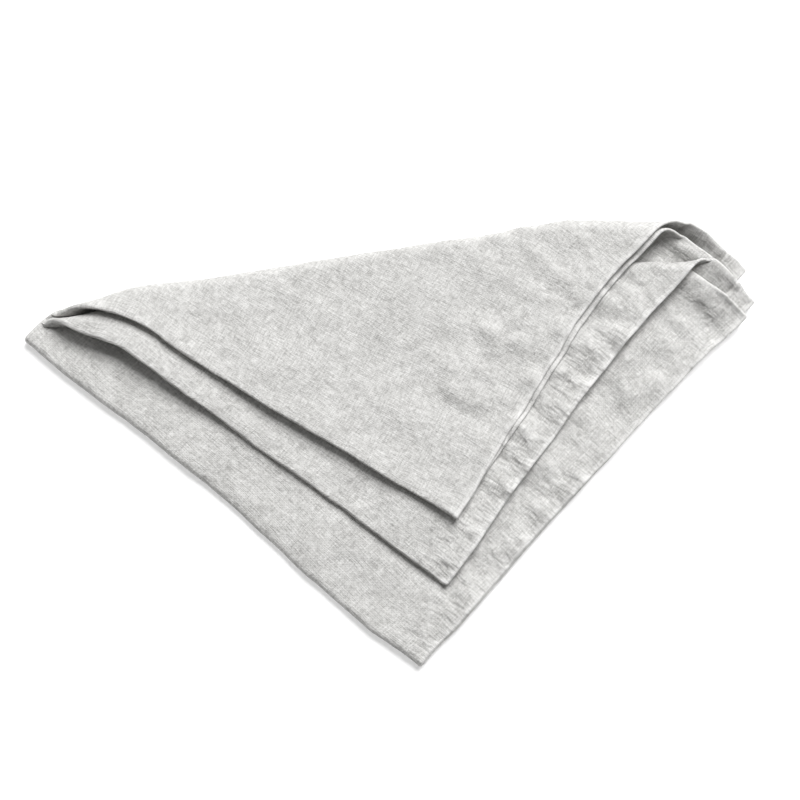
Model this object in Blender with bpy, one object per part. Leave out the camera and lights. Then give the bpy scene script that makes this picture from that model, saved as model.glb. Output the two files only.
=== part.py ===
"""A square linen napkin, folded in quarters and then loosely across one corner.

The cloth is laid out flat, divided into triangles along its three folds, folded
up, and then given its thickness. Metres, +Z up, the napkin rests on z = 0.

Flat frame: the origin is the middle of the cloth. The first fold runs along y
and brings the side x < 0 over. The second runs along x and brings the side
y < 0 over. They leave four layers with their closed corner at the origin, an
outer layer (x > 0) and an inner one (x < 0) in a lower and an upper pair. The
third fold crosses these and brings their far left part over.
"""

import math

import bmesh
import bpy
import numpy as np
from mathutils import Vector
from mathutils.geometry import delaunay_2d_cdt

# Cloth
HALF_WIDTH = 0.225
HALF_LENGTH = 0.2275
THICKNESS = 0.0010
PITCH = 0.0016  # height from one layer to the next
SIDE_BOW_OUTER = 0.0033  # how far the hem at +x draws in between its corners
SIDE_BOW_INNER = 0.0020  # the same for the hem at -x
LINEN_COLOUR = (0.66, 0.65, 0.63, 1.0)

# Resolution
CELL = 0.0095  # doubled away from the rolls of the third fold
CLEARANCE = 0.0050  # free points stay this far from a crease or a hem
FIRST_STEPS = 4
SECOND_STEPS = 5
THIRD_STEPS = 8
PROBE = 0.00001  # step used to find the direction a surface faces

# Place of the closed corner, the turn of the quarter, and the middle of the
# finished napkin, which is moved to the origin at the end
TIP_X = -0.1622
TIP_Y = 0.0239
TURN = math.radians(-39.1)
MIDDLE_X = -0.00485
MIDDLE_Y = -0.01898

# Creases. Each passes through (x, y) at an angle in degrees, and brings the
# cloth on its left over. The middle of its bend is at a height in pitches.
# Columns: x, y, angle, middle.
FIRST_CREASE = (0.0014, 0.0, 89.73, 0.5)
SECOND_CREASE = (0.0, 0.0027, 178.27, 1.5)
THIRD_LOWER_PAIR = (0.0, 0.0190, 48.46, 3.5)
THIRD_UPPER_PAIR = (0.0, 0.0164, 44.61, 3.6)

# In the third fold the two layers of a pair stay level at the folded edge that
# joins them, and slip along each other farther in.
SLIP_START = 0.008
SLIP_WHOLE = 0.080

# The third fold opens into a rounder roll at both ends. Columns: distance along
# the crease where the change starts and where it is complete, how far the
# crease shifts to its left, and how far the middle of the bend rises.
LOWER_PAIR_ROLLS = [(0.045, -0.005, -0.0092, 0.0036), (0.225, 0.300, -0.0153, 0.0035)]
UPPER_PAIR_ROLLS = [(0.045, -0.005, -0.0066, 0.0021), (0.225, 0.300, -0.0054, 0.0020)]
ROLLS_END = 0.050
ROLLS_START = 0.218

# The cloth is drawn out of square in places. Columns: x, y, how far it reaches,
# the move in x and in y there, and the height in pitches above which it moves.
DRAWN = [
    (-0.166, 0.022, 0.034, -0.0075, 0.0016, -1.0),
    (-0.070, -0.050, 0.040, 0.0010, 0.0012, -1.0),
    (0.010, -0.122, 0.014, 0.0006, 0.0026, -1.0),
    (-0.123, 0.029, 0.011, 0.0012, 0.0020, 3.0),
    (-0.066, -0.016, 0.038, -0.0014, -0.0018, 3.0),
]

# The long folded edges of the two upper tiers stand off the cloth below them.
# Columns: x and y where this starts, angle of the edge, height, how far along it
# takes to grow, how far in it reaches, and the height in pitches above which the
# cloth is raised.
LIFTS = [
    (-0.1435, 0.0398, -31.8, 0.0020, 0.080, 0.060, 5.0),
    (-0.1420, 0.0090, -36.1, 0.0014, 0.030, 0.050, 3.0),
]


def smooth(t):
    """Go from 0 to 1 with a flat start and a flat end."""
    t = np.clip(t, 0.0, 1.0)
    return t * t * (3.0 - 2.0 * t)


class Crease:
    """A straight line on the layers, about which the cloth on its left bends over."""

    def __init__(self, columns, rolls=(), pair_middle=None, pair_edge=None):
        self.x, self.y, degrees, middle = columns
        self.cos = math.cos(math.radians(degrees))
        self.sin = math.sin(math.radians(degrees))
        self.middle = middle * PITCH
        self.rolls = rolls
        self.pair_middle = pair_middle
        self.pair_edge = pair_edge

    def measure(self, x, y):
        """Distance along the line, and distance to its left."""
        dx = x - self.x
        dy = y - self.y
        return dx * self.cos + dy * self.sin, dy * self.cos - dx * self.sin

    def point(self, along, across):
        x = self.x + along * self.cos - across * self.sin
        y = self.y + along * self.sin + across * self.cos
        return x, y

    def roll(self, along):
        """Shift of the line and height of the bend's middle at a place along it."""
        shift = 0.0 * along
        middle = self.middle + 0.0 * along
        for start, complete, sideways, rise in self.rolls:
            amount = smooth((along - start) / (complete - start))
            shift = shift + sideways * amount
            middle = middle + rise * amount
        return shift, middle

    def length(self, along, across, z):
        """How much of a layer the bend takes up."""
        middle = self.roll(along)[1]
        if self.pair_edge is None:
            return math.pi * (middle - z)
        x, y = self.point(along, across)
        edge = math.radians(self.pair_edge)
        inward = x * math.sin(edge) - y * math.cos(edge)
        slip = smooth((inward - SLIP_START) / (SLIP_WHOLE - SLIP_START))
        pair = self.pair_middle * PITCH
        return math.pi * (middle - pair - (z - pair) * slip)

    def bend(self, x, y, z):
        """Move points of the flat layers to where the fold takes them."""
        along, across = self.measure(x, y)
        shift, middle = self.roll(along)
        length = self.length(along, across, z)
        distance = across - shift
        angle = math.pi * np.clip(distance / length, 0.0, 1.0)
        beyond = np.maximum(distance - length, 0.0)
        bent = np.where(distance <= 0.0, distance, (middle - z) * np.sin(angle) - beyond)
        x, y = self.point(along, shift + bent)
        return x, y, middle - (middle - z) * np.cos(angle)

    def reach(self, along, z, share, turned=0.0):
        """Distance to the left on a layer after a share of the bend.

        Past the bend, turned is the distance to the left of the crease as folded.
        """
        shift = self.roll(along)[0]
        across = shift
        for _ in range(4):
            across = shift + self.length(along, across, z) * share - turned
        return across

    def unbend(self, x, y, z):
        """Take points from beyond the bend back to their layer, which was at height z."""
        along, across = self.measure(x, y)
        return self.point(along, math.pi * (self.middle - z) - across)


FIRST = Crease(FIRST_CREASE)
SECOND = Crease(SECOND_CREASE)
UPPER_EDGE = 2.0 * SECOND_CREASE[2] - FIRST_CREASE[2] - 180.0
THIRD_LOWER = Crease(THIRD_LOWER_PAIR, LOWER_PAIR_ROLLS, 0.5, FIRST_CREASE[2])
THIRD_UPPER = Crease(THIRD_UPPER_PAIR, UPPER_PAIR_ROLLS, 2.5, UPPER_EDGE)

# Where each later bend runs on the flat cloth. Columns: its crease, the folds
# made before it, the height in pitches of its outer and inner layer before it,
# the stretch of the first crease on which it starts, its direction away from
# there, and its number of steps.
BENDS = [
    (SECOND, [FIRST], 0, 1, (0.02, -0.02), -1, SECOND_STEPS),
    (THIRD_LOWER, [FIRST, SECOND], 0, 1, (0.004, 0.24), 1, THIRD_STEPS),
    (THIRD_UPPER, [FIRST, SECOND], 3, 2, (-0.012, -0.24), 1, THIRD_STEPS),
]


def fold(x, y, creases):
    """Fold flat points about some of the creases."""
    z = np.zeros_like(x)
    for crease in creases:
        x, y, z = crease.bend(x, y, z)
    return x, y, z


def folded(x, y):
    """Where points of the flat cloth lie in the napkin, at mid thickness."""
    x, y, z = fold(x, y, [FIRST, SECOND])
    is_upper = z > 1.5 * PITCH
    lower = THIRD_LOWER.bend(x, y, z)
    upper = THIRD_UPPER.bend(x, y, z)
    x, y, z = (np.where(is_upper, b, a) for a, b in zip(lower, upper))
    turned_x = TIP_X + x * math.cos(TURN) - y * math.sin(TURN)
    turned_y = TIP_Y + x * math.sin(TURN) + y * math.cos(TURN)
    for edge_x, edge_y, degrees, height, growth, reach, above in LIFTS:
        edge = Crease((edge_x, edge_y, degrees, 0.0))
        along, inward = edge.measure(turned_x, turned_y)
        share = smooth(along / growth) * (1.0 - smooth(inward / reach))
        z = z + height * share * smooth(z / PITCH - above)
    drawn = np.stack([turned_x, turned_y, z + THICKNESS / 2], axis=1)
    for from_x, from_y, reach, move_x, move_y, above in DRAWN:
        near = np.exp(-((turned_x - from_x) ** 2 + (turned_y - from_y) ** 2) / (2.0 * reach**2))
        amount = near * smooth(z / PITCH - above)
        drawn += amount[:, None] * np.array([move_x, move_y, 0.0])
    return drawn - np.array([MIDDLE_X, MIDDLE_Y, 0.0])


def facing(x, y):
    """Unit vectors square to the folded cloth, on the side that was up when flat."""
    along_x = folded(x + PROBE, y) - folded(x - PROBE, y)
    along_y = folded(x, y + PROBE) - folded(x, y - PROBE)
    normal = np.cross(along_x, along_y)
    return normal / np.linalg.norm(normal, axis=1)[:, None]


def hem_x(y, side):
    """The x of a side hem, which draws in between its corners."""
    share = np.clip(np.abs(y) / HALF_LENGTH, 0.0, 1.0)
    bow = SIDE_BOW_OUTER if side > 0 else SIDE_BOW_INNER
    return side * (HALF_WIDTH - 4.0 * bow * share * (1.0 - share))


def outline():
    """The four hems as one closed line."""
    run = np.linspace(-1.0, 1.0, int(HALF_WIDTH / CELL) + 1)[:-1]
    near = [(HALF_WIDTH * t, -HALF_LENGTH) for t in run]
    right = [(hem_x(HALF_LENGTH * t, 1), HALF_LENGTH * t) for t in run]
    far = [(-x, -y) for x, y in near]
    left = [(hem_x(HALF_LENGTH * t, -1), -HALF_LENGTH * t) for t in run]
    return near + right + far + left + near[:1]


def first_line(step, along):
    """Flat points on a line round the bend of the first fold."""
    return FIRST.point(along, FIRST.reach(along, 0.0, step / FIRST_STEPS))


def to_flat(x, y, pitches):
    """Take points of one of the four layers back to the flat cloth."""
    if pitches > 1:
        x, y = SECOND.unbend(x, y, (3 - pitches) * PITCH)
    if pitches in (1, 2):
        x, y = FIRST.unbend(x, y, 0.0)
    return x, y


def stations():
    """Distances along the third crease, close together where it rolls."""
    near = np.arange(-0.004, ROLLS_END, CELL / 2)
    plain = np.arange(ROLLS_END + CELL, ROLLS_START, 2.5 * CELL)
    far = np.arange(ROLLS_START, 0.33, CELL)
    return np.concatenate([near, plain, far])


def side_line(bend, share, start, pitches):
    """The part of a bend's line that runs out over one layer, to beyond its hem."""
    crease, before, _, _, _, way, _ = bend
    x, y, _ = fold(np.array([start[0]]), np.array([start[1]]), before)
    first = crease.measure(x, y)[0][0] * way
    along = stations()
    along = along[along > first + CELL / 2] * way
    x, y = crease.point(along, crease.reach(along, pitches * PITCH, share))
    return list(zip(*to_flat(x, y, pitches)))


def bend_line(bend, share):
    """One line round a bend: in over the inner layer, across the first bend, and out."""
    crease, before, outer, inner, (low, high), _, _ = bend
    across_first = []
    for step in range(FIRST_STEPS + 1):
        along = np.linspace(low, high, 1200)
        x, y, z = fold(*first_line(step, along), before)
        at, across = crease.measure(x, y)
        found = np.interp(0.0, across - crease.reach(at, z, share), along)
        across_first.append(first_line(step, found))
    over_inner = side_line(bend, share, across_first[-1], inner)
    over_outer = side_line(bend, share, across_first[0], outer)
    return over_inner[::-1] + across_first[::-1] + over_outer


def crease_lines():
    """Lines round every bend, on the flat cloth."""
    out = np.concatenate([np.arange(0.25, 7.0, 0.5), np.arange(8.0, 26.0, 1.5)]) * CELL
    along = np.concatenate([-out[::-1], out])
    lines = [list(zip(*first_line(step, along))) for step in range(FIRST_STEPS + 1)]
    for bend in BENDS:
        steps = bend[-1]
        lines += [bend_line(bend, step / steps) for step in range(steps + 1)]
    return lines


def plan_grid():
    """A grid of triangles, as distances along and to the left of a third crease."""
    points = []
    for row in range(-32, 33):
        for column in range(-2, 36):
            along = (column + 0.5 * (row % 2)) * CELL
            coarse = ROLLS_END < along < ROLLS_START
            if not coarse or (row % 2 == 0 and (column + row // 2) % 2 == 0):
                points.append((along, row * CELL * math.sqrt(0.75)))
    return np.array(points).T


def grid_on_layer(pitches):
    """The plan grid on the lower part and on the turned part of one layer."""
    crease = THIRD_UPPER if pitches > 1 else THIRD_LOWER
    along, across = plan_grid()
    shift = crease.roll(along)[0]
    along, across, shift = (values[across < shift] for values in (along, across, shift))
    turned = crease.reach(along, pitches * PITCH, 1.0, across - shift)
    points = []
    for distance in (across, turned):
        x, y = crease.point(along, distance)
        points += list(zip(*to_flat(x, y, pitches)))
    return points


def free_points(lines):
    """Grid points of all the layers that are clear of every line and hem."""
    samples = []
    for line in lines:
        ends = np.array(line)
        for share in np.linspace(0.0, 1.0, 12):
            samples.append(ends[:-1] * (1.0 - share) + ends[1:] * share)
    samples = np.concatenate(samples)
    points = []
    for pitches in range(4):
        for x, y in grid_on_layer(pitches):
            on_layer = (x > 0) == (pitches in (0, 3)) and (y < 0) == (pitches > 1)
            clear = abs(y) < HALF_LENGTH - CLEARANCE
            clear = clear and hem_x(y, -1) + CLEARANCE < x < hem_x(y, 1) - CLEARANCE
            if on_layer and clear and np.min(np.hypot(samples[:, 0] - x, samples[:, 1] - y)) > CLEARANCE:
                points.append((x, y))
    return points


def flat_triangles():
    """The flat cloth as points and counter-clockwise triangles."""
    lines = crease_lines()
    points = free_points(lines)
    edges = []
    for line in lines + [outline()]:
        start = len(points)
        points += line
        edges += [(i, i + 1) for i in range(start, len(points) - 1)]
    coordinates = [Vector((float(x), float(y))) for x, y in points]
    found = delaunay_2d_cdt(coordinates, edges, [], 0, 1e-7)
    flat = np.array([tuple(v) for v in found[0]])
    triangles = []
    for face in found[2]:
        x, y = flat[list(face)].mean(axis=0)
        if abs(y) < HALF_LENGTH and hem_x(y, -1) < x < hem_x(y, 1):
            triangles.append(tuple(face))
    return flat, triangles


def add_thickness(flat, triangles):
    """A closed solid: both faces of the folded cloth and its cut edge."""
    used = sorted({i for triangle in triangles for i in triangle})
    number = {old: new for new, old in enumerate(used)}
    x, y = flat[used].T
    middle = folded(x, y)
    offset = facing(x, y) * THICKNESS / 2
    count = len(used)
    solid = bmesh.new()
    verts = [solid.verts.new(p) for p in np.concatenate([middle + offset, middle - offset])]
    border = set()
    for triangle in triangles:
        a, b, c = (number[i] for i in triangle)
        solid.faces.new((verts[a], verts[b], verts[c])).smooth = True
        solid.faces.new((verts[c + count], verts[b + count], verts[a + count])).smooth = True
        for edge in ((a, b), (b, c), (c, a)):
            if edge[::-1] in border:
                border.remove(edge[::-1])
            else:
                border.add(edge)
    for a, b in sorted(border):
        solid.faces.new((verts[a + count], verts[b + count], verts[b]))
        solid.faces.new((verts[a + count], verts[b], verts[a]))
    return solid


def linen():
    material = bpy.data.materials.new("linen")
    material.use_nodes = True
    shader = material.node_tree.nodes["Principled BSDF"]
    shader.inputs["Base Color"].default_value = LINEN_COLOUR
    shader.inputs["Roughness"].default_value = 0.9
    return material


def main():
    for existing in list(bpy.data.objects):
        bpy.data.objects.remove(existing)
    solid = add_thickness(*flat_triangles())
    mesh = bpy.data.meshes.new("napkin")
    solid.to_mesh(mesh)
    solid.free()
    mesh.materials.append(linen())
    napkin = bpy.data.objects.new("napkin", mesh)
    bpy.context.scene.collection.objects.link(napkin)


main()
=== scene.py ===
"""The looks of a linen napkin, folded in quarters and then loosely across a corner.

The cloth is laid out flat, divided into small triangles along its folds and
hems, folded as the frame's solid is, and given its relief, its hems and its
thickness. Metres, +Z up, in the frame's own place.

Flat cloth: the origin is its middle. Its right side faces down, and shows when
folded. The first fold runs along y and brings the side x < 0 over, the second
runs along x and brings the side y < 0 over, and the third brings the far left
part of the four layers over.
"""

import math

import bpy
import numpy as np
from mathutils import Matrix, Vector
from mathutils.geometry import delaunay_2d_cdt
from mathutils.kdtree import KDTree


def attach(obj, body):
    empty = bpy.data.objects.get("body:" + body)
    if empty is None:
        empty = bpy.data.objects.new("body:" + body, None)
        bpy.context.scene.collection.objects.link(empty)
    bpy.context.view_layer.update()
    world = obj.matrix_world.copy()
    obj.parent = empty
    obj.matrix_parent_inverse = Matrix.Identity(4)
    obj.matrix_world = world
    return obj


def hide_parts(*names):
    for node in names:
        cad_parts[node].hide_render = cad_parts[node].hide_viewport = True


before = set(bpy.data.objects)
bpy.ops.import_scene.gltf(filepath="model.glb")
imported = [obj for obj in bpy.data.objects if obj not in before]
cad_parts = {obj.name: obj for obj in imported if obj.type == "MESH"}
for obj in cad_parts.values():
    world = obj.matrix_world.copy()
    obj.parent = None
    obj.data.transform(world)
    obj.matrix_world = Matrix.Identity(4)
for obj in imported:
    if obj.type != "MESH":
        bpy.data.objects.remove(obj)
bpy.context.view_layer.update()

# Cloth, laid out flat
HALF_WIDTH = 0.225
HALF_LENGTH = 0.2275
SIDE_BOW_OUTER = 0.0033  # how far the hem at +x draws in between its corners
SIDE_BOW_INNER = 0.0020  # the same for the hem at -x
PITCH = 0.0016  # height from one layer to the next
LOWEST = 0.0005  # mid height of the lowest layer
HALF_CLOTH = 0.00025
UNDERSIDE = 0.00003  # the lowest that any point of the cloth or its stitches lies

# Hems. The cloth's right side bulges a little over them, its wrong side steps up.
HEM_WIDTH = 0.0100
HEM_STEP = 0.0006  # width of the step at a hem's inner edge
HEM_RIGHT_SIDE = 0.00040  # from mid thickness to each side of the cloth on a hem
HEM_WRONG_SIDE = 0.00062
HEM_CALM = 0.6  # share of the fine crinkles that a hem takes away
HEM_CORNER = 0.00013  # added on the wrong side where two hems cross
HEM_FOOT = 0.75  # share of the thickness that the groove at a hem's inner edge takes
HEM_FOOT_WIDTH = 0.0007
HEM_BEAD_RIGHT = 0.00022  # how far the very edge stands out on each side
HEM_BEAD_WRONG = 0.00008
HEM_BEAD_WIDTH = 0.0011
SEAM_INSET = 0.0086
SEAM_GROOVE = 0.00016
SEAM_GROOVE_WIDTH = 0.0008

# Sewing. Columns of the rings along a stitch: place as a share of half its length,
# height over the cloth and radius, both as shares of the thread's radius.
STITCH_PITCH = 0.0030
STITCH_LENGTH = 0.0024
STITCH_RADIUS = 0.00017
STITCH_SIDES = 6
STITCH_RINGS = [
    (-1.0, -1.6, 0.35),
    (-0.6, -0.1, 0.9),
    (0.0, 0.3, 1.0),
    (0.6, -0.1, 0.9),
    (1.0, -1.6, 0.35),
]

# Stage. Columns of the lights: name, place, side, power in watts.
ELEVATION = math.radians(78.0)
DISTANCE = 0.9
LENS_MM = 89.8
WORLD_STRENGTH = 0.08
LIGHTS = [("back", (1.1, 2.2, 3.3), 2.5, 222.0), ("left", (-2.2, 1.3, 1.8), 1.6, 15.0)]
WHITE = (1.0, 1.0, 1.0, 1.0)
FLOOR_SIZE = 30.0
FLOOR_FINISH = {
    "Base Color": (0.93, 0.93, 0.93, 1.0),
    "Emission Color": WHITE,
    "Emission Strength": 0.36,
    "Roughness": 1.0,
    "Specular IOR Level": 0.0,
}

# Linen, with its patterns worked out in millimetres on the flat cloth
MM = 1000.0
THREAD_PITCH_MM = 0.75
LINEN_DARK = (0.42, 0.415, 0.402, 1.0)
LINEN_MIDDLE = (0.60, 0.595, 0.58, 1.0)
LINEN_LIGHT = (0.78, 0.775, 0.76, 1.0)
LINEN_MIDDLE_TONE = 0.5
HEM_RIM_HIGHLIGHT_WIDTH = 0.0014  # a painted highlight along the very edge of the hems, over this width
STRAY_SCALE = 0.11  # how the threads stray from straight lines, and how far in mm
STRAY_DETAIL = 3.0
STRAY_MM = (1.6, 1.6, 0.0)
SLUB_ACROSS = 1.5  # thick and thin places of a thread, across it and along it
SLUB_ALONG = 0.22
SLUB_ROUGHNESS = 0.6
WARP_SEED = 3.0
WEFT_SEED = 9.0
BUMP_DISTANCE = 0.001
LINEN_FINISH = {
    "Roughness": 0.88,
    "Specular IOR Level": 0.25,
    "Sheen Weight": 0.08,
    "Sheen Roughness": 0.45,
}
THREAD_FINISH = {"Base Color": LINEN_LIGHT, "Roughness": 0.75, "Sheen Weight": 0.2}

# Noise of the cloth. Columns: scale, detail, roughness.
CRUMPLE = (0.16, 2.0, 0.6)
FLECK = (0.95, 1.0, 0.5)
MOTTLE = (0.075, 3.0, 0.6)
BENT = (0.055, 2.0, 0.5)
BENT_STEEPNESS = 7.0  # the fine lines of old creases, cut off at a height of one
BENT_ROUNDING = 0.5

# Fine puckers of the material along two hems, in millimetres from the hem and from
# the hem's middle
PUCKER_OUTER_MM = 26.0
PUCKER_INNER_MM = 8.0
PUCKER_FADE_FROM_MM = 110.0
PUCKER_FADE_TO_MM = 150.0
PUCKER_FADED = 0.3
PUCKER_ALONG = 0.19
PUCKER_INWARD = 0.07
PUCKER_ROUGHNESS = 0.6
SIDE_PUCKER_SEED = 15.0
END_PUCKER_SEED = 21.0

# What each pattern adds. Columns: pattern, relief in millimetres, tone. The puckers' tone is painted
# shade in their valleys and painted light on their crests, and the hem rim's tone is a painted highlight.
PATTERNS = [
    ("weave", 0.05, 0.08),
    ("over", 0.03, 0.0),
    ("warp", 0.28, 1.5),
    ("weft", 0.28, 1.5),
    ("crumple", 0.95, 0.0),
    ("bent", 0.20, 0.0),
    ("fleck", 0.0, 0.4),
    ("mottle", 0.0, 0.7),
    # painted highlight along the very edge of the hems
    ("hem_rim_highlight", 0.0, 0.35),
    # the puckers' tone is painted shade in their valleys and painted light on their crests
    ("side puckers", 1.7, 0.8),
    ("end puckers", 2.5, 1.1),
]

# Resolution
CELL = 0.0031
CLEARANCE = 0.0018  # free points stay this far from a line
FIRST_STEPS = 8
SECOND_STEPS = 10
THIRD_STEPS = 14
PROBE = 0.00001  # step used to find the direction a surface faces
CREASE_REACH = 0.24  # how far the first crease's lines run from its middle
LAYER_REACH = 0.33  # how far along its own crease a bend's line runs over a layer
CROSSING_SAMPLES = 2400  # places tried for where a line crosses the first bend
LENGTH_ROUNDS = 4  # rounds to find a bend's length, which depends on where it ends
LINE_SAMPLES = (0.0, 0.25, 0.5, 0.75)  # places on a piece of a line that free points avoid
SAME_POINT = 1e-7
EDGE_RINGS = (-0.75, 0.0, 0.75)  # rings round the cloth's edge, from its right to its wrong side

# Lines along the hems: distances in from the edge, and then shares of the widths of
# the hem's step, of the groove at its inner edge and of the seam's groove
EDGE_LINES = (0.0004, 0.0012, 0.0027, 0.0046)
STEP_LINES = (0.0, 0.5, 1.0)
FOOT_LINES = (0.7, 1.6)
SEAM_LINES = (-1.2, -0.6, 0.0, 0.6)

# Place of the closed corner, the turn of the quarter and the middle of the napkin
TIP_X = -0.1622
TIP_Y = 0.0239
TURN = math.radians(-39.1)
MIDDLE_X = -0.00485
MIDDLE_Y = -0.01898

# Creases of the folds. Columns: x, y, angle in degrees, middle of the bend in pitches.
FIRST_CREASE = (0.0014, 0.0, 89.73, 0.5)
SECOND_CREASE = (0.0, 0.0027, 178.27, 1.5)
THIRD_LOWER_PAIR = (0.0, 0.0190, 48.46, 3.5)
THIRD_UPPER_PAIR = (0.0, 0.0164, 44.61, 3.6)
SLIP_START = 0.008
SLIP_WHOLE = 0.080

# Rolls of the third fold. Columns: distance along the crease where the change
# starts and where it is complete, shift to the left, rise of the bend's middle.
LOWER_PAIR_ROLLS = [(0.045, -0.005, -0.0092, 0.0036), (0.225, 0.300, -0.0153, 0.0035)]
UPPER_PAIR_ROLLS = [(0.045, -0.005, -0.0066, 0.0021), (0.225, 0.300, -0.0054, 0.0020)]

# Places where the cloth is drawn out of square. Columns: x, y, reach, move in x
# and in y, and the height in pitches above which it moves.
DRAWN = [
    (-0.166, 0.022, 0.034, -0.0075, 0.0016, -1.0),
    (-0.070, -0.050, 0.040, 0.0010, 0.0012, -1.0),
    (0.010, -0.122, 0.014, 0.0006, 0.0034, -1.0),
    (-0.160, 0.032, 0.012, -0.0012, 0.0022, -1.0),
    (0.136, 0.072, 0.011, 0.0011, 0.0019, -1.0),
    (0.150, 0.060, 0.011, 0.0011, 0.0019, -1.0),
    (-0.123, 0.029, 0.011, 0.0012, 0.0020, 3.0),
    (-0.142, 0.030, 0.013, 0.0, -0.0036, 3.0),
    (0.132, 0.062, 0.012, 0.0, -0.0030, 2.0),
    (-0.066, -0.016, 0.038, -0.0014, -0.0018, 3.0),
]

# Long folded edges that stand off the cloth below. Columns: x and y where this
# starts, angle, height (negative where the edge lies lower), distance over which it
# grows, how far in it reaches, and the height in pitches above which the cloth moves.
LIFTS = [
    (-0.1435, 0.0398, -31.8, 0.0008, 0.080, 0.060, 5.0),
    (-0.1435, 0.0398, -31.8, 0.0011, 0.030, 0.024, 6.0),
    (-0.1400, 0.0280, -36.1, 0.0007, 0.030, 0.022, 4.2),
    (-0.0860, -0.0090, -36.1, -0.0012, 0.045, 0.035, 3.0),
]

# Places where such an edge arches up. Columns: x and y of its middle, angle, height,
# half length, how far in it reaches, and the height in pitches above which it rises.
ARCHES = [
    (-0.1207, 0.0150, -36.1, 0.0062, 0.034, 0.055, 3.0),
    (-0.0300, -0.0200, -33.0, 0.0008, 0.060, 0.040, 5.0),
]

# Stretches of the end hems that curl up. Columns: the side of x and of y on the flat
# cloth, distance of the middle from x = 0, half length, how far in the curl
# reaches, height (negative where the hem lies lower), how far the hem draws in.
CURLS = [
    (1, 1, 0.198, 0.016, 0.0064, 0.0064, 0.0),
    (-1, 1, 0.196, 0.019, 0.014, 0.0044, 0.0050),
    (-1, 1, 0.225, 0.015, 0.014, -0.0006, 0.0060),
    (-1, -1, 0.206, 0.013, 0.020, 0.0030, 0.0),
    (-1, -1, 0.204, 0.015, 0.0105, 0.0056, 0.0),
    (1, -1, 0.206, 0.013, 0.018, 0.0046, 0.0010),
    (1, 1, 0.150, 0.030, 0.018, 0.0022, 0.0),
]

# Heights of the visible layer of each tier, and of the lowest layer of all
TIER_HEIGHTS = (LOWEST, 0.0053, 0.0088, 0.0117)
BOTTOM, MIDDLE, TOP = range(3)
DEEPEST = (0.0015, 0.0012, 0.0006)  # how far the relief of each tier may sink

# Soft unevenness of each tier. Columns: width and length of its hills, the angle of
# their length, height, seed.
HILLS = [
    [(0.036, 0.036, 0, 0.0008, 11), (0.012, 0.020, -38, 0.00060, 12), (0.0065, 0.009, -30, 0.00025, 13)],
    [(0.034, 0.034, 0, 0.0006, 21), (0.010, 0.022, -40, 0.00065, 22), (0.0060, 0.009, -50, 0.00025, 23)],
    [(0.040, 0.050, 20, 0.0010, 31), (0.015, 0.030, -32, 0.00100, 32), (0.0080, 0.012, -45, 0.00040, 33)],
]

# Puckers of the two lower tiers, to the right of the napkin's lower corner.
# Columns: tier, width, length and angle of the puckers, height, seed.
PUCKERS = [
    (BOTTOM, 0.0056, 0.009, -38, 0.00130, 61),
    (BOTTOM, 0.0120, 0.012, 0, 0.00170, 62),
    (MIDDLE, 0.0034, 0.009, -34, 0.00190, 63),
    (MIDDLE, 0.0070, 0.014, -44, 0.00200, 64),
]
PUCKERS_FROM = 0.018  # x where they start
PUCKERS_WHOLE = 0.032  # x where they have their whole height

# Creases and dents in the folded napkin, listed one by one. Columns: tier, x and y of
# one end, x and y of the other, half width, height (negative for a trough).
DENTS = [
    (TOP, 0.0422, 0.0898, 0.0702, 0.0730, 0.0036, -0.00140),
    (TOP, 0.0493, 0.0930, 0.0780, 0.0760, 0.0034, 0.00110),
    (TOP, 0.0420, 0.0790, 0.0500, 0.0760, 0.0040, -0.00070),
    (MIDDLE, 0.0764, 0.0402, 0.0871, 0.0274, 0.0034, -0.00240),
    (MIDDLE, 0.0603, 0.0182, 0.0701, 0.0109, 0.0022, -0.00220),
    (MIDDLE, 0.0540, -0.0001, 0.0647, -0.0092, 0.0018, -0.00240),
    (MIDDLE, 0.0496, -0.0119, 0.0558, -0.0156, 0.0020, -0.00200),
    (MIDDLE, 0.0415, -0.0238, 0.0478, -0.0275, 0.0022, -0.00180),
    (MIDDLE, 0.0585, 0.0091, 0.0674, 0.0008, 0.0022, 0.00200),
    (MIDDLE, 0.0518, -0.0065, 0.0594, -0.0129, 0.0018, 0.00170),
    (MIDDLE, 0.0697, 0.0301, 0.0786, 0.0210, 0.0028, 0.00190),
    (MIDDLE, 0.0455, -0.0175, 0.0520, -0.0215, 0.0020, 0.00150),
    (BOTTOM, 0.1320, 0.0665, 0.1466, 0.0500, 0.0062, -0.00150),
    (BOTTOM, 0.1098, 0.0413, 0.1206, 0.0303, 0.0012, -0.00064),
    (BOTTOM, 0.0880, 0.0262, 0.0905, 0.0235, 0.0040, -0.00112),
    (BOTTOM, 0.1000, 0.0145, 0.1026, 0.0103, 0.0042, -0.00128),
    (BOTTOM, 0.0750, 0.0040, 0.0782, -0.0004, 0.0036, -0.00112),
    (BOTTOM, 0.0775, -0.0105, 0.0803, -0.0150, 0.0036, -0.00128),
    (BOTTOM, 0.0560, -0.0172, 0.0622, -0.0212, 0.0034, -0.00112),
    (BOTTOM, 0.0330, -0.0525, 0.0368, -0.0585, 0.0034, -0.00112),
    (BOTTOM, 0.1180, 0.0590, 0.1270, 0.0510, 0.0060, 0.00096),
    (BOTTOM, 0.0640, -0.0330, 0.0700, -0.0300, 0.0044, 0.00096),
]

# The edges of each tier wander a little. Columns: width of the hills, distance.
WANDER = [(0.036, 0.00060), (0.014, 0.00034), (0.0065, 0.00018)]
WANDER_SEED = 50

# Fine crinkles of the cloth itself. Columns: width of the hills, height, seed.
CRINKLES = [(0.0080, 0.00012, 41), (0.0046, 0.00009, 42)]

HILL_GRID = 128  # random heights on each side of the ground that the hills come from
HILL_TURN = 0.7  # angle in radians by which hills without one turn for each seed


def smooth(t):
    """Go from 0 to 1 with a flat start and a flat end."""
    t = np.clip(t, 0.0, 1.0)
    return t * t * (3.0 - 2.0 * t)


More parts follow.
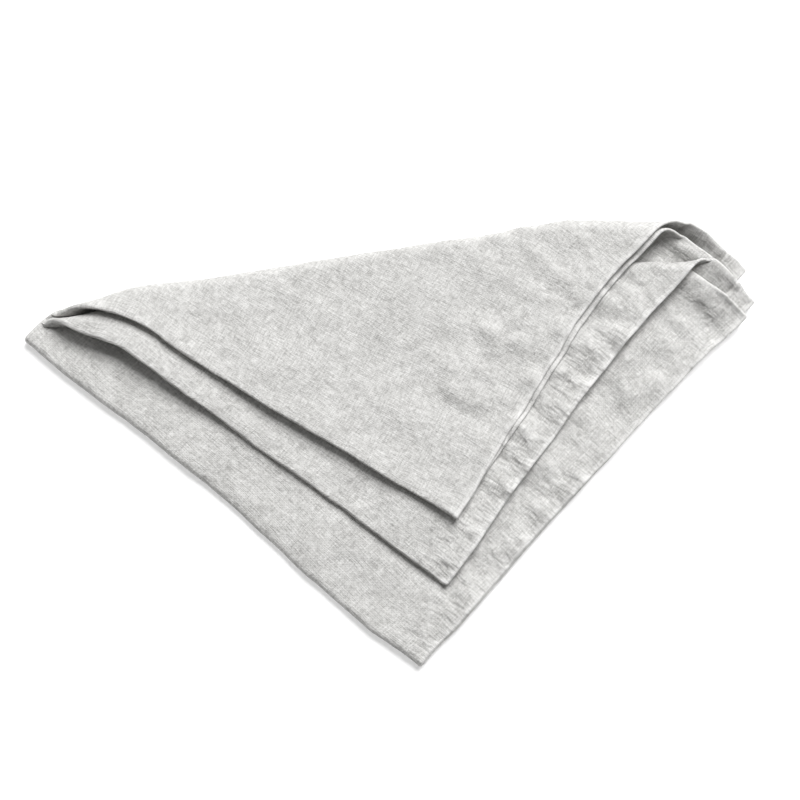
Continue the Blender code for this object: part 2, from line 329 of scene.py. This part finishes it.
def hills(x, y, width, seed, length=None, degrees=None):
    """Smooth random ground between -1 and 1, whose hills have about this size."""
    heights = np.random.default_rng(seed).uniform(-1.0, 1.0, (HILL_GRID, HILL_GRID))
    turn = seed * HILL_TURN if degrees is None else math.radians(degrees)
    u = (x * math.cos(turn) + y * math.sin(turn)) / (length or width) + HILL_GRID / 2
    v = (y * math.cos(turn) - x * math.sin(turn)) / width + HILL_GRID / 2
    i, j = np.floor(u).astype(int), np.floor(v).astype(int)
    s, t = smooth(u - i), smooth(v - j)
    i, j = i % (HILL_GRID - 1), j % (HILL_GRID - 1)
    low = heights[i, j] * (1.0 - s) + heights[i + 1, j] * s
    high = heights[i, j + 1] * (1.0 - s) + heights[i + 1, j + 1] * s
    return low * (1.0 - t) + high * t


class Crease:
    """A straight line on the layers, about which the cloth on its left bends over."""

    def __init__(self, columns, rolls=(), pair_middle=None, pair_edge=None):
        self.x, self.y, degrees, middle = columns
        self.cos = math.cos(math.radians(degrees))
        self.sin = math.sin(math.radians(degrees))
        self.middle = middle * PITCH
        self.rolls = rolls
        self.pair_middle = pair_middle
        self.pair_edge = pair_edge

    def measure(self, x, y):
        """Distance along the line, and distance to its left."""
        dx = x - self.x
        dy = y - self.y
        return dx * self.cos + dy * self.sin, dy * self.cos - dx * self.sin

    def point(self, along, across):
        x = self.x + along * self.cos - across * self.sin
        y = self.y + along * self.sin + across * self.cos
        return x, y

    def roll(self, along):
        """Shift of the line and height of the bend's middle at a place along it."""
        shift = 0.0 * along
        middle = self.middle + 0.0 * along
        for start, complete, sideways, rise in self.rolls:
            amount = smooth((along - start) / (complete - start))
            shift = shift + sideways * amount
            middle = middle + rise * amount
        return shift, middle

    def length(self, along, across, z):
        """How much of a layer the bend takes up."""
        middle = self.roll(along)[1]
        if self.pair_edge is None:
            return math.pi * (middle - z)
        x, y = self.point(along, across)
        edge = math.radians(self.pair_edge)
        inward = x * math.sin(edge) - y * math.cos(edge)
        slip = smooth((inward - SLIP_START) / (SLIP_WHOLE - SLIP_START))
        pair = self.pair_middle * PITCH
        return math.pi * (middle - pair - (z - pair) * slip)

    def bend(self, x, y, z):
        """Move points of the flat layers to where the fold takes them."""
        along, across = self.measure(x, y)
        shift, middle = self.roll(along)
        length = self.length(along, across, z)
        distance = across - shift
        angle = math.pi * np.clip(distance / length, 0.0, 1.0)
        beyond = np.maximum(distance - length, 0.0)
        bent = np.where(distance <= 0.0, distance, (middle - z) * np.sin(angle) - beyond)
        x, y = self.point(along, shift + bent)
        return x, y, middle - (middle - z) * np.cos(angle)

    def reach(self, along, z, share):
        """Distance to the left on a layer after a share of the bend."""
        shift = self.roll(along)[0]
        across = shift
        for _ in range(LENGTH_ROUNDS):
            across = shift + self.length(along, across, z) * share
        return across

    def unbend(self, x, y, z):
        """Take points from beyond the bend back to their layer, which was at height z."""
        along, across = self.measure(x, y)
        return self.point(along, math.pi * (self.middle - z) - across)


FIRST = Crease(FIRST_CREASE)
SECOND = Crease(SECOND_CREASE)
UPPER_EDGE = 2.0 * SECOND_CREASE[2] - FIRST_CREASE[2] - 180.0
THIRD_LOWER = Crease(THIRD_LOWER_PAIR, LOWER_PAIR_ROLLS, 0.5, FIRST_CREASE[2])
THIRD_UPPER = Crease(THIRD_UPPER_PAIR, UPPER_PAIR_ROLLS, 2.5, UPPER_EDGE)

# Where each later bend runs on the flat cloth. Columns: its crease, the folds
# made before it, the height in pitches of its outer and inner layer before it,
# the stretch of the first crease on which it starts, its direction away from
# there, and its number of steps.
BENDS = [
    (SECOND, [FIRST], 0, 1, (0.02, -0.02), -1, SECOND_STEPS),
    (THIRD_LOWER, [FIRST, SECOND], 0, 1, (0.004, 0.24), 1, THIRD_STEPS),
    (THIRD_UPPER, [FIRST, SECOND], 3, 2, (-0.012, -0.24), 1, THIRD_STEPS),
]


def fold(x, y, creases):
    """Fold flat points about some of the creases."""
    z = np.zeros_like(x)
    for crease in creases:
        x, y, z = crease.bend(x, y, z)
    return x, y, z


def per_tier(z, values):
    """Blend one value for each tier by height, from nothing at the lowest layer."""
    total = 0.0 * z
    below = 0.0 * z
    for value, low, high in zip(values, TIER_HEIGHTS, TIER_HEIGHTS[1:]):
        total = total + (value - below) * np.clip((z - low) / (high - low), 0.0, 1.0)
        below = value
    return total


def dent(x, y, columns):
    """A soft trough or ridge along a short line."""
    _, ax, ay, bx, by, width, height = columns
    along = ((x - ax) * (bx - ax) + (y - ay) * (by - ay)) / ((bx - ax) ** 2 + (by - ay) ** 2)
    along = np.clip(along, 0.0, 1.0)
    off = (x - ax - along * (bx - ax)) ** 2 + (y - ay - along * (by - ay)) ** 2
    return height * np.exp(-off / width**2)


def relief(x, y, tier):
    """Height of a tier's hills, dents and creases."""
    total = 0.0 * x
    for width, length, degrees, height, seed in HILLS[tier]:
        total = total + height * hills(x, y, width, seed, length, degrees)
    right = smooth((x - PUCKERS_FROM) / (PUCKERS_WHOLE - PUCKERS_FROM))
    for of_tier, width, length, degrees, height, seed in PUCKERS:
        if of_tier == tier:
            total = total + height * right * hills(x, y, width, seed, length, degrees)
    return total + sum(dent(x, y, columns) for columns in DENTS if columns[0] == tier)


def wander(x, y, tier, way):
    """How far a tier's cloth strays sideways."""
    seeds = (WANDER_SEED + 10 * tier + 5 * way + k for k in range(len(WANDER)))
    return sum(far * hills(x, y, width, seed) for (width, far), seed in zip(WANDER, seeds))


def curl(x, y):
    """How far the end hems curl up and draw in at points of the flat cloth."""
    rise = 0.0 * x
    drawn = 0.0 * x
    for side_x, side_y, middle, half_length, reach, height, inward in CURLS:
        share = np.exp(-(((x * side_x - middle) / half_length) ** 2))
        share = share * (1.0 - smooth((HALF_LENGTH - y * side_y) / reach))
        rise = rise + height * share
        drawn = drawn + inward * share
    return np.stack([drawn * math.sin(TURN), -drawn * math.cos(TURN), rise], axis=1)


def raised(x, y, z):
    """Heights of the folded cloth with its lifted and arched edges."""
    for edge_x, edge_y, degrees, height, growth, reach, above in LIFTS:
        along, inward = Crease((edge_x, edge_y, degrees, 0.0)).measure(x, y)
        share = smooth(along / growth) * (1.0 - smooth(inward / reach))
        z = z + height * share * smooth(z / PITCH - above)
    for edge_x, edge_y, degrees, height, half_length, reach, above in ARCHES:
        along, inward = Crease((edge_x, edge_y, degrees, 0.0)).measure(x, y)
        share = np.exp(-((along / half_length) ** 2)) * (1.0 - smooth(inward / reach))
        z = z + height * share * smooth(z / PITCH - above)
    return z


def folded(x, y):
    """Where points of the flat cloth lie in the napkin, at mid thickness."""
    curled = curl(x, y)
    x, y, z = fold(x, y, [FIRST, SECOND])
    is_upper = z > 1.5 * PITCH
    lower = THIRD_LOWER.bend(x, y, z)
    upper = THIRD_UPPER.bend(x, y, z)
    x, y, z = (np.where(is_upper, b, a) for a, b in zip(lower, upper))
    turned_x = TIP_X + x * math.cos(TURN) - y * math.sin(TURN)
    turned_y = TIP_Y + x * math.sin(TURN) + y * math.cos(TURN)
    z = raised(turned_x, turned_y, z)
    place = curled + np.stack([turned_x, turned_y, z + LOWEST], axis=1)
    for from_x, from_y, reach, move_x, move_y, above in DRAWN:
        near = np.exp(-((turned_x - from_x) ** 2 + (turned_y - from_y) ** 2) / (2.0 * reach**2))
        amount = near * smooth(z / PITCH - above)
        place += amount[:, None] * np.array([move_x, move_y, 0.0])
    return place - np.array([MIDDLE_X, MIDDLE_Y, 0.0])


def reliefs(x, y):
    """The relief of each tier, none of which sinks far into the one below."""
    below = 0.0 * x
    found = []
    for tier, sink in zip((BOTTOM, MIDDLE, TOP), DEEPEST):
        above = relief(x, y, tier) - below
        below = below + np.where(above < 0.0, sink * np.tanh(above / sink), above)
        found.append(below)
    return found


def shaped(x, y):
    """The folded cloth with the unevenness of each tier."""
    place = folded(x, y)
    plan_x, plan_y, z = place.T.copy()
    place[:, 2] += per_tier(z, reliefs(plan_x, plan_y))
    for way in (0, 1):
        moves = [wander(plan_x, plan_y, tier, way) for tier in (BOTTOM, MIDDLE, TOP)]
        place[:, way] += moves[0] + per_tier(z, [0.0 * z, moves[1] - moves[0], moves[2] - moves[0]])
    return place


def facing(x, y):
    """Unit vectors square to the folded cloth, on its wrong side."""
    along_x = shaped(x + PROBE, y) - shaped(x - PROBE, y)
    along_y = shaped(x, y + PROBE) - shaped(x, y - PROBE)
    normal = np.cross(along_x, along_y)
    return normal / np.linalg.norm(normal, axis=1)[:, None]


def hem_x(y, side):
    """The x of a side hem, which draws in between its corners."""
    share = np.clip(np.abs(y) / HALF_LENGTH, 0.0, 1.0)
    bow = SIDE_BOW_OUTER if side > 0 else SIDE_BOW_INNER
    return side * (HALF_WIDTH - 4.0 * bow * share * (1.0 - share))


def from_hems(x, y):
    """Distance in from the nearer side hem, and from the nearer end hem."""
    return np.minimum(hem_x(y, 1) - x, x - hem_x(y, -1)), HALF_LENGTH - np.abs(y)


def nearness(insets, middle, width):
    """How near points are to lines along the hems, from 0 to 1."""
    return np.minimum(sum(np.exp(-(((d - middle) / width) ** 2)) for d in insets), 1.0)


def sides(x, y):
    """How far the wrong and the right side of the cloth are from its middle."""
    insets = from_hems(x, y)
    bands = [1.0 - smooth((d - HEM_WIDTH) / HEM_STEP) for d in insets]
    hem = np.maximum(*bands)
    wrong = HALF_CLOTH + (HEM_WRONG_SIDE - HALF_CLOTH) * hem + HEM_CORNER * bands[0] * bands[1]
    right = HALF_CLOTH + (HEM_RIGHT_SIDE - HALF_CLOTH) * hem
    foot = nearness(insets, HEM_WIDTH + HEM_STEP + HEM_FOOT_WIDTH / 2, HEM_FOOT_WIDTH)
    wrong = wrong - HEM_FOOT * foot * (wrong + right)
    groove = SEAM_GROOVE * nearness(insets, SEAM_INSET, SEAM_GROOVE_WIDTH)
    crinkle = sum(height * hills(x, y, width, seed) for width, height, seed in CRINKLES)
    crinkle = crinkle * (1.0 - HEM_CALM * hem)
    bead = np.exp(-((np.minimum(*insets) / HEM_BEAD_WIDTH) ** 2))
    wrong = wrong + HEM_BEAD_WRONG * bead
    right = right + HEM_BEAD_RIGHT * bead
    return wrong - groove + crinkle, right - groove - crinkle


def outline():
    """The four hems as one closed line."""
    run = np.linspace(-1.0, 1.0, int(2 * HALF_WIDTH / CELL) + 1)[:-1]
    near = [(HALF_WIDTH * t, -HALF_LENGTH) for t in run]
    right = [(hem_x(HALF_LENGTH * t, 1), HALF_LENGTH * t) for t in run]
    far = [(-x, -y) for x, y in near]
    left = [(hem_x(HALF_LENGTH * t, -1), -HALF_LENGTH * t) for t in run]
    return near + right + far + left + near[:1]


def hem_lines():
    """Lines along every hem, close together where its surface changes."""
    insets = list(EDGE_LINES)
    insets += [HEM_WIDTH + k * HEM_STEP for k in STEP_LINES]
    insets += [HEM_WIDTH + HEM_STEP + k * HEM_FOOT_WIDTH for k in FOOT_LINES]
    insets += [SEAM_INSET + k * SEAM_GROOVE_WIDTH for k in SEAM_LINES]
    run = np.linspace(-1.0, 1.0, int(2 * HALF_WIDTH / CELL) + 2)
    lines = []
    for inset in insets:
        for side in (-1, 1):
            lines.append([(hem_x(HALF_LENGTH * t, side) - side * inset, HALF_LENGTH * t) for t in run])
            lines.append([(HALF_WIDTH * t, side * (HALF_LENGTH - inset)) for t in run])
    return lines


def first_line(step, along):
    """Flat points on a line round the bend of the first fold."""
    return FIRST.point(along, FIRST.reach(along, 0.0, step / FIRST_STEPS))


def to_flat(x, y, pitches):
    """Take points of one of the four layers back to the flat cloth."""
    if pitches > 1:
        x, y = SECOND.unbend(x, y, (3 - pitches) * PITCH)
    if pitches in (1, 2):
        x, y = FIRST.unbend(x, y, 0.0)
    return x, y


def side_line(bend, share, start, pitches):
    """The part of a bend's line that runs out over one layer, to beyond its hem."""
    crease, before, _, _, _, way, _ = bend
    x, y, _ = fold(np.array([start[0]]), np.array([start[1]]), before)
    first = crease.measure(x, y)[0][0] * way
    along = np.arange(first + CELL / 2, LAYER_REACH, CELL) * way
    x, y = crease.point(along, crease.reach(along, pitches * PITCH, share))
    return list(zip(*to_flat(x, y, pitches)))


def bend_line(bend, share):
    """One line round a bend: in over the inner layer, across the first bend, and out."""
    crease, before, outer, inner, (low, high), _, _ = bend
    across_first = []
    for step in range(FIRST_STEPS + 1):
        along = np.linspace(low, high, CROSSING_SAMPLES)
        x, y, z = fold(*first_line(step, along), before)
        at, across = crease.measure(x, y)
        found = np.interp(0.0, across - crease.reach(at, z, share), along)
        across_first.append(first_line(step, found))
    over_inner = side_line(bend, share, across_first[-1], inner)
    over_outer = side_line(bend, share, across_first[0], outer)
    return over_inner[::-1] + across_first[::-1] + over_outer


def crease_lines():
    """Lines round every bend, on the flat cloth."""
    out = np.arange(CELL / 2, CREASE_REACH, CELL)
    along = np.concatenate([-out[::-1], out])
    lines = [list(zip(*first_line(step, along))) for step in range(FIRST_STEPS + 1)]
    for bend in BENDS:
        steps = bend[-1]
        lines += [bend_line(bend, step / steps) for step in range(steps + 1)]
    return lines


def free_points(lines):
    """A grid of triangle corners, clear of every line."""
    samples = []
    for line in lines:
        ends = np.array(line)
        for share in LINE_SAMPLES:
            samples.append(ends[:-1] * (1.0 - share) + ends[1:] * share)
    samples = np.concatenate(samples)
    near = KDTree(len(samples))
    for i, (x, y) in enumerate(samples):
        near.insert((x, y, 0.0), i)
    near.balance()
    points = []
    row_height = CELL * math.sqrt(0.75)
    rows = int(HALF_LENGTH / row_height)
    columns = int(HALF_WIDTH / CELL) + 1
    for row in range(-rows, rows + 1):
        for column in range(-columns, columns + 1):
            x, y = (column + 0.5 * (row % 2)) * CELL, row * row_height
            inside = min(from_hems(x, y)) > CLEARANCE
            if inside and near.find((x, y, 0.0))[2] > CLEARANCE:
                points.append((x, y))
    return points


def flat_triangles():
    """The flat cloth as points and counter-clockwise triangles."""
    lines = crease_lines() + hem_lines()
    points = free_points(lines)
    edges = []
    for line in lines + [outline()]:
        start = len(points)
        points += line
        edges += [(i, i + 1) for i in range(start, len(points) - 1)]
    coordinates = [Vector((float(x), float(y))) for x, y in points]
    found = delaunay_2d_cdt(coordinates, edges, [], 0, SAME_POINT)
    flat = np.array([tuple(v) for v in found[0]])
    triangles = np.array([tuple(face) for face in found[2]])
    centre = flat[triangles].mean(axis=1)
    inside = np.minimum(*from_hems(centre[:, 0], centre[:, 1])) > 0.0
    triangles = triangles[inside]
    used, numbers = np.unique(triangles, return_inverse=True)
    return flat[used], numbers.reshape(-1, 3)


def border_edges(triangles):
    """The directed edges that only one triangle has."""
    edges = {(t[k], t[(k + 1) % 3]) for t in triangles.tolist() for k in range(3)}
    return [(a, b) for a, b in sorted(edges) if (b, a) not in edges]


def rounded_edge(flat, edges):
    """Rings of points round the cloth's edge, from its right to its wrong side."""
    outward = np.zeros_like(flat)
    for a, b in edges:
        dx, dy = flat[b] - flat[a]
        for end in (a, b):
            outward[end] += (dy, -dx)
    rim = sorted({a for a, _ in edges})
    x, y = flat[rim].T
    outward = outward[rim] / np.linalg.norm(outward[rim], axis=1)[:, None]
    wrong, right = sides(x, y)
    half = (wrong + right) / 2.0
    away = shaped(x + PROBE * outward[:, 0], y + PROBE * outward[:, 1]) - shaped(x, y)
    away = away / np.linalg.norm(away, axis=1)[:, None]
    rings = []
    for share in EDGE_RINGS:
        out = half * math.sqrt(1.0 - share**2)
        up = (wrong - right) / 2.0 + half * share
        rings.append(shaped(x, y) + away * out[:, None] + facing(x, y) * up[:, None])
    return rim, rings


def edge_faces(edges, rim, count):
    """Faces round the cloth's edge, from its right side over the rings to its wrong side."""
    place = {vertex: k for k, vertex in enumerate(rim)}
    steps = len(EDGE_RINGS) + 1

    def at(vertex, ring):
        """The number of an edge point: ring 0 is on the right side, the last on the wrong."""
        if ring == 0:
            return vertex + count
        if ring == steps:
            return vertex
        return 2 * count + (ring - 1) * len(rim) + place[vertex]

    faces = []
    for a, b in edges:
        for ring in range(steps):
            faces.append((at(a, ring), at(b, ring), at(b, ring + 1), at(a, ring + 1)))
    return faces


def new_piece(name, points, faces):
    """A smooth piece from its points, which are lifted onto the floor where they lie below it."""
    points[:, 2] = np.maximum(points[:, 2], UNDERSIDE)
    mesh = bpy.data.meshes.new(name)
    mesh.from_pydata(points.tolist(), [], faces)
    mesh.shade_smooth()
    piece = bpy.data.objects.new(name, mesh)
    bpy.context.scene.collection.objects.link(piece)
    return piece


def build_cloth():
    """The cloth as a closed mesh, with each point's place on the flat cloth and its share of the painted
    highlight along the hems' very edge.
    """
    flat, triangles = flat_triangles()
    x, y = flat.T
    wrong, right = sides(x, y)
    middle, normal = shaped(x, y), facing(x, y)
    count = len(flat)
    edges = border_edges(triangles)
    rim, rings = rounded_edge(flat, edges)
    parts = [middle + normal * wrong[:, None], middle - normal * right[:, None]] + rings
    faces = [tuple(t) for t in triangles.tolist()]
    faces += [(c + count, b + count, a + count) for a, b, c in triangles.tolist()]
    faces += edge_faces(edges, rim, count)
    piece = new_piece("napkin_cloth", np.concatenate(parts), faces)
    on_flat = np.concatenate([flat, flat] + [flat[rim]] * len(rings))
    # Share of the painted highlight along the very edge of the hems, kept as the third value of
    # flat_place.
    hem_rim_highlight = np.exp(-((np.minimum(*from_hems(*on_flat.T)) / HEM_RIM_HIGHLIGHT_WIDTH) ** 2))
    values = np.column_stack([on_flat, hem_rim_highlight]).astype(np.float32)
    flat_place = piece.data.attributes.new("flat_place", "FLOAT_VECTOR", "POINT")
    flat_place.data.foreach_set("vector", values.ravel())
    return piece


def add_floor():
    """A plain pale floor that glows a little."""
    bpy.ops.mesh.primitive_plane_add(size=FLOOR_SIZE)
    floor = bpy.context.object
    floor.name = "floor"
    graph = Graph("floor")
    graph.set_shader(FLOOR_FINISH)
    floor.data.materials.append(graph.material)


def add_lights():
    """A dim white world, and large soft lights from behind."""
    world = bpy.data.worlds.new("studio")
    bpy.context.scene.world = world
    world.use_nodes = True
    background = world.node_tree.nodes["Background"]
    background.inputs["Color"].default_value = WHITE
    background.inputs["Strength"].default_value = WORLD_STRENGTH
    for name, place, size, power in LIGHTS:
        data = bpy.data.lights.new(name, "AREA")
        data.size = size
        data.energy = power
        light = bpy.data.objects.new(name, data)
        light.location = place
        light.rotation_euler = Vector(place).to_track_quat("Z", "Y").to_euler()
        bpy.context.scene.collection.objects.link(light)


def add_camera():
    """The photo's view."""
    data = bpy.data.cameras.new("camera")
    data.lens = LENS_MM
    camera = bpy.data.objects.new("camera", data)
    aim = Vector((-MIDDLE_X, -MIDDLE_Y, 0.0))
    back = Vector((0.0, -math.cos(ELEVATION), math.sin(ELEVATION)))
    camera.location = aim + back * DISTANCE
    camera.rotation_euler = (math.pi / 2 - ELEVATION, 0.0, 0.0)
    bpy.context.scene.collection.objects.link(camera)
    bpy.context.scene.camera = camera
    bpy.context.scene.view_settings.view_transform = "Standard"


def seams(along):
    """The lines of stitches on the flat cloth, each with the way it runs."""
    found = []
    for side in (-1, 1):
        found.append((hem_x(along, side) - side * SEAM_INSET, along, (0.0, 1.0)))
        found.append((along, 0.0 * along + side * (HALF_LENGTH - SEAM_INSET), (1.0, 0.0)))
    return found


def stitching():
    """Straight stitches along the four hems, on both sides of the cloth."""
    count = int(2 * (HALF_WIDTH - SEAM_INSET) / STITCH_PITCH)
    middles = (np.arange(count) - (count - 1) / 2) * STITCH_PITCH
    shares, bulge, girth = np.array(STITCH_RINGS).T
    along = (middles[:, None] + shares * STITCH_LENGTH / 2).ravel()
    bulge = np.tile(STITCH_RADIUS * bulge, count)
    radius = np.tile(STITCH_RADIUS * girth, count)[:, None]
    points, faces = [], []
    for x, y, (way_x, way_y) in seams(along):
        middle, normal = shaped(x, y), facing(x, y)
        forward = shaped(x + PROBE * way_x, y + PROBE * way_y) - middle
        forward /= np.linalg.norm(forward, axis=1)[:, None]
        sideways = np.cross(forward, normal)
        for face, height in zip((1, -1), sides(x, y)):
            centre = middle + normal * (face * (bulge + height))[:, None]
            first = sum(len(p) for p in points)
            for k in range(STITCH_SIDES):
                angle = 2 * math.pi * k / STITCH_SIDES
                around = sideways * math.cos(angle) + normal * math.sin(angle)
                points.append(centre + radius * around)
            faces += stitch_faces(first, count, len(shares), len(along))
    return new_piece("napkin_stitching", np.concatenate(points), faces)


def stitch_faces(first, count, samples, stride):
    """The faces of a row of stitches whose rings lie stride points apart."""
    faces = []
    for stitch in range(count):
        start = first + stitch * samples
        for sample in range(samples - 1):
            for k in range(STITCH_SIDES):
                a = start + sample + k * stride
                b = start + sample + (k + 1) % STITCH_SIDES * stride
                faces.append((a, b, b + 1, a + 1))
        for end, order in ((0, -1), (samples - 1, 1)):
            faces.append(tuple(start + end + k * stride for k in range(STITCH_SIDES))[::order])
    return faces


class Graph:
    """Adds nodes to a material, each with its inputs given as values or as sockets."""

    def __init__(self, name):
        self.material = bpy.data.materials.new(name)
        self.material.use_nodes = True
        self.tree = self.material.node_tree
        self.shader = self.tree.nodes["Principled BSDF"]

    def give(self, socket, value):
        if isinstance(value, bpy.types.NodeSocket):
            self.tree.links.new(value, socket)
        else:
            socket.default_value = value

    def set_shader(self, values):
        """Give the shader's inputs their values, by name."""
        for name, value in values.items():
            self.give(self.shader.inputs[name], value)

    def node(self, kind, inputs, **settings):
        made = self.tree.nodes.new("ShaderNode" + kind)
        for name, value in settings.items():
            setattr(made, name, value)
        for key, value in inputs.items():
            self.give(made.inputs[key], value)
        return made

    def math(self, operation, *values):
        inputs = dict(enumerate(values))
        return self.node("Math", inputs, operation=operation).outputs[0]

    def total(self, terms, start=0.0):
        """The sum of values, each times its weight."""
        for weight, value in terms:
            start = self.math("MULTIPLY_ADD", value, weight, start)
        return start

    def vector(self, x, y, z=0.0):
        return self.node("CombineXYZ", {0: x, 1: y, 2: z}).outputs[0]

    def noise(self, vector, scale, detail=2.0, roughness=0.5):
        """Noise about zero, from -0.5 to 0.5."""
        inputs = {"Vector": vector, "Scale": scale, "Detail": detail, "Roughness": roughness}
        return self.math("SUBTRACT", self.node("TexNoise", inputs).outputs[0], 0.5)


def slubs(graph, across, along, seed):
    """Thick and thin stretches of the threads that run along one way."""
    across = graph.math("MULTIPLY", across, SLUB_ACROSS)
    along = graph.math("MULTIPLY", along, SLUB_ALONG)
    return graph.noise(graph.vector(across, along, seed), 1.0, 2.0, SLUB_ROUGHNESS)


def puckers(graph, inward, along, seed):
    """Fine creases that run in from a hem, given the distance in from it."""
    limits = {0: inward, 1: PUCKER_OUTER_MM, 2: PUCKER_INNER_MM}
    near = graph.node("MapRange", limits, interpolation_type="SMOOTHSTEP").outputs[0]
    from_middle = graph.math("ABSOLUTE", along)
    limits = {0: from_middle, 1: PUCKER_FADE_FROM_MM, 2: PUCKER_FADE_TO_MM, 3: 1.0, 4: PUCKER_FADED}
    amount = graph.math("MULTIPLY", near, graph.node("MapRange", limits).outputs[0])
    along = graph.math("MULTIPLY", along, PUCKER_ALONG)
    inward = graph.math("MULTIPLY", inward, PUCKER_INWARD)
    creases = graph.noise(graph.vector(along, inward, seed), 1.0, 2.0, PUCKER_ROUGHNESS)
    return graph.math("MULTIPLY", amount, creases)


def linen_patterns(graph):
    """Everything that varies over the linen, by name."""
    place = graph.node("Attribute", {}, attribute_name="flat_place").outputs["Vector"]
    place = graph.node("VectorMath", {0: place, 1: (MM, MM, 1.0)}, operation="MULTIPLY").outputs[0]
    stray = graph.node("TexNoise", {"Vector": place, "Scale": STRAY_SCALE, "Detail": STRAY_DETAIL})
    strayed = {0: stray.outputs["Color"], 1: STRAY_MM, 2: place}
    strayed = graph.node("VectorMath", strayed, operation="MULTIPLY_ADD").outputs[0]
    x, y = graph.node("SeparateXYZ", {0: strayed}).outputs[:2]
    wave_x = graph.math("SINE", graph.math("MULTIPLY", x, math.pi / THREAD_PITCH_MM))
    wave_y = graph.math("SINE", graph.math("MULTIPLY", y, math.pi / THREAD_PITCH_MM))
    over = graph.math("MULTIPLY", wave_x, wave_y)
    bent = graph.math("MULTIPLY", graph.math("ABSOLUTE", graph.noise(place, *BENT)), BENT_STEEPNESS)
    from_side = graph.math("SUBTRACT", HALF_WIDTH * MM, x)
    from_end = graph.math("ADD", HALF_LENGTH * MM, y)
    return {
        "weave": graph.math("ABSOLUTE", over),
        "over": over,
        "warp": slubs(graph, x, y, WARP_SEED),
        "weft": slubs(graph, y, x, WEFT_SEED),
        "crumple": graph.noise(place, *CRUMPLE),
        "bent": graph.math("SMOOTH_MIN", bent, 1.0, BENT_ROUNDING),
        "fleck": graph.noise(place, *FLECK),
        "mottle": graph.noise(place, *MOTTLE),
        # the share of the painted highlight along the very edge of the hems
        "hem_rim_highlight": graph.node("SeparateXYZ", {0: place}).outputs[2],
        "side puckers": puckers(graph, from_side, y, SIDE_PUCKER_SEED),
        "end puckers": puckers(graph, from_end, x, END_PUCKER_SEED),
    }


def linen():
    """Plain-weave linen with slubs and fine creases, painted shade in the puckers' valleys and a painted
    highlight along the hems' very edge.
    """
    graph = Graph("linen_cloth")
    patterns = linen_patterns(graph)
    height = graph.total([(relief, patterns[name]) for name, relief, _ in PATTERNS if relief])
    bump = graph.node("Bump", {"Strength": 1.0, "Distance": BUMP_DISTANCE, "Height": height})
    # the tone carries painted shade in the puckers' valleys and a painted highlight along the hems' very
    # edge
    weights = [(weight, patterns[name]) for name, _, weight in PATTERNS if weight]
    ramp = graph.node("ValToRGB", {0: graph.total(weights, LINEN_MIDDLE_TONE)})
    colours = [(0.0, LINEN_DARK), (LINEN_MIDDLE_TONE, LINEN_MIDDLE), (1.0, LINEN_LIGHT)]
    ramp.color_ramp.elements.new(LINEN_MIDDLE_TONE)
    for element, (position, colour) in zip(ramp.color_ramp.elements, colours):
        element.position = position
        element.color = colour
    graph.set_shader({"Base Color": ramp.outputs[0], "Normal": bump.outputs[0]})
    graph.set_shader(LINEN_FINISH)
    return graph.material


def thread():
    """Sewing thread of the cloth's own colour."""
    graph = Graph("linen_thread")
    graph.set_shader(THREAD_FINISH)
    return graph.material


add_floor()
add_lights()
add_camera()
cloth = build_cloth()
cloth.data.materials.append(linen())
sewing = stitching()
sewing.data.materials.append(thread())
for piece in (cloth, sewing):
    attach(piece, "root")
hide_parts("napkin")
